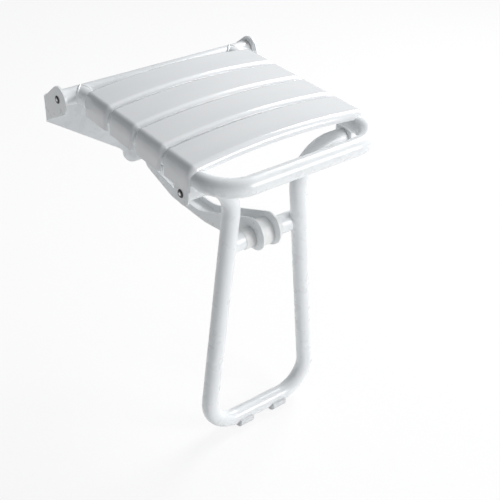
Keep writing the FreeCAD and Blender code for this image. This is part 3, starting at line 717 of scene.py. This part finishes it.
for side, sign in (("left", -1), ("right", 1)):
    points = []
    for step in range(ROUND_STEPS + 1):
        angle = math.pi / 2 + math.pi * step / ROUND_STEPS
        y = bar.y + math.cos(angle) * bar_r
        z = bar.z + math.sin(angle) * bar_r
        way = (UPRIGHT_TOP.z - z) / (UPRIGHT_TOP.z - UPRIGHT_FOOT.z)
        centre = UPRIGHT_TOP.x + (UPRIGHT_FOOT.x - UPRIGHT_TOP.x) * way
        inside = math.sqrt(max(upright_r ** 2 - (y - upright_y) ** 2, 0))
        points.append((sign * (centre - inside), y, z))
    bead(f"crossbar_weld_{side}", points, "leg", radius=BAR_BEAD_R)
print("crossbar welds: 2")

# %% [markdown]
# The crossbar's ends can be seen from behind the uprights, so each is closed with a cap. The
# cap comes off the lathe too: a plug in the tube and a flat face with a softened rim.

# %% Crossbar end caps
CAP_DEEP = 3
CAP_PLUG_R = 11.9
CAP_R = 13.8
CAP_EDGE = 0.0002

for side, sign in (("left", -1), ("right", 1)):
    at = Vector((sign * (bar_high.x - CAP_DEEP * MM), bar.y, bar.z))
    section = [(0, 0), (0, CAP_PLUG_R), (2.2, CAP_PLUG_R), (2.2, CAP_R), (2.7, CAP_R - 0.3),
               (CAP_DEEP, 11.5), (CAP_DEEP, 0)]
    piece_from(f"crossbar_cap_{side}", lathe(section, at, ALONG_X * sign, CAP_EDGE),
               "white_nylon", "leg")
print("crossbar caps: 2")

# %% [markdown]
# The yoke's base is welded to the wall plate down both of its sides, with the same bead.

# %% Welds on the yoke
YOKE_BEAD_END = 0.003

low, high = corners_of("link_yoke")
for side, x in (("left", low.x), ("right", high.x)):
    points = run((x, high.y, low.z + YOKE_BEAD_END), (x, high.y, high.z - YOKE_BEAD_END))
    bead(f"yoke_weld_{side}", points, "wall_bracket", radius=YOKE_BEAD_R)
print("yoke welds: 2")

# %% [markdown]
# The floor is a plain pale disc that looks nearly white to the camera and in reflections. The
# rest of its shade comes from its own surface, so it still takes the seat's shadow.

# %% Floor
FLOOR_RADIUS = 20
FLOOR_SIDES = 64
FLOOR_COLOUR = (0.9, 0.9, 0.9, 1)
FLOOR_ROUGHNESS = 0.9
FLOOR_GLOW = 0.86
WHITE = (1, 1, 1, 1)

floor_material, tree, shader = new_material("studio_floor")
shader.inputs["Base Color"].default_value = FLOOR_COLOUR
shader.inputs["Roughness"].default_value = FLOOR_ROUGHNESS
glow = tree.nodes.new("ShaderNodeEmission")
glow.inputs["Color"].default_value = WHITE
rays = tree.nodes.new("ShaderNodeLightPath")
share = tree.nodes.new("ShaderNodeMath")
share.operation = "MULTIPLY"
share.inputs[1].default_value = FLOOR_GLOW
seen = tree.nodes.new("ShaderNodeMath")
seen.operation = "MAXIMUM"
mix = tree.nodes.new("ShaderNodeMixShader")
tree.links.new(rays.outputs["Is Camera Ray"], seen.inputs[0])
tree.links.new(rays.outputs["Is Glossy Ray"], seen.inputs[1])
tree.links.new(seen.outputs[0], share.inputs[0])
tree.links.new(share.outputs[0], mix.inputs["Fac"])
tree.links.new(shader.outputs["BSDF"], mix.inputs[1])
tree.links.new(glow.outputs["Emission"], mix.inputs[2])
tree.links.new(mix.outputs["Shader"], tree.nodes["Material Output"].inputs["Surface"])

bm = bmesh.new()
bmesh.ops.create_circle(bm, cap_ends=True, segments=FLOOR_SIDES, radius=FLOOR_RADIUS,
                        matrix=Matrix.Translation((0, 0, cad_box[0][2])))
floor = piece_from("floor", bm)
floor.data.materials.append(floor_material)
print("floor at", round(cad_box[0][2], 4))

# %% [markdown]
# The world is a weak cool grey light, and the camera sees plain white in its place, so the
# background stays clean above the floor's edge.

# %% World
WORLD_COLOUR = (0.92, 0.965, 1.0, 1)
WORLD_STRENGTH = 0.24

world = bpy.data.worlds.new("studio")
world.use_nodes = True
tree = world.node_tree
sky = tree.nodes["Background"]
sky.inputs["Color"].default_value = WORLD_COLOUR
sky.inputs["Strength"].default_value = WORLD_STRENGTH
backdrop = tree.nodes.new("ShaderNodeBackground")
backdrop.inputs["Color"].default_value = WHITE
backdrop.inputs["Strength"].default_value = 1
rays = tree.nodes.new("ShaderNodeLightPath")
mix = tree.nodes.new("ShaderNodeMixShader")
tree.links.new(rays.outputs["Is Camera Ray"], mix.inputs["Fac"])
tree.links.new(sky.outputs["Background"], mix.inputs[1])
tree.links.new(backdrop.outputs["Background"], mix.inputs[2])
tree.links.new(mix.outputs["Shader"], tree.nodes["World Output"].inputs["Surface"])
bpy.context.scene.world = world
print("world:", len(tree.nodes), "nodes")

# %% [markdown]
# A large soft key lamp stands in front and to the right, and a smaller one on the right lifts
# the ends, so the left sides fall into a light grey, as in the photograph. A faint lamp low on
# the left fills the rest.

# %% Lamps
SEAT_MIDDLE = (0, -0.2, 0)


def softbox(name, place, target, size, power):
    """A square lamp that looks from one point to another."""
    lamp = bpy.data.lights.new(name, "AREA")
    lamp.shape = "SQUARE"
    lamp.size = size
    lamp.energy = power
    holder = bpy.data.objects.new(name, lamp)
    holder.location = place
    holder.rotation_euler = (Vector(target) - Vector(place)).to_track_quat("-Z", "Y").to_euler()
    bpy.context.scene.collection.objects.link(holder)


softbox("key_lamp", (1.5, -2.9, 1.0), SEAT_MIDDLE, size=1.5, power=60)
softbox("side_lamp", (1.5, 0.1, 1.25), SEAT_MIDDLE, size=1.0, power=37)
softbox("fill_lamp", (-1.7, -1.3, -0.1), SEAT_MIDDLE, size=1.2, power=2.6)
bpy.context.scene.view_settings.view_transform = "Standard"
print("lamps: 3")
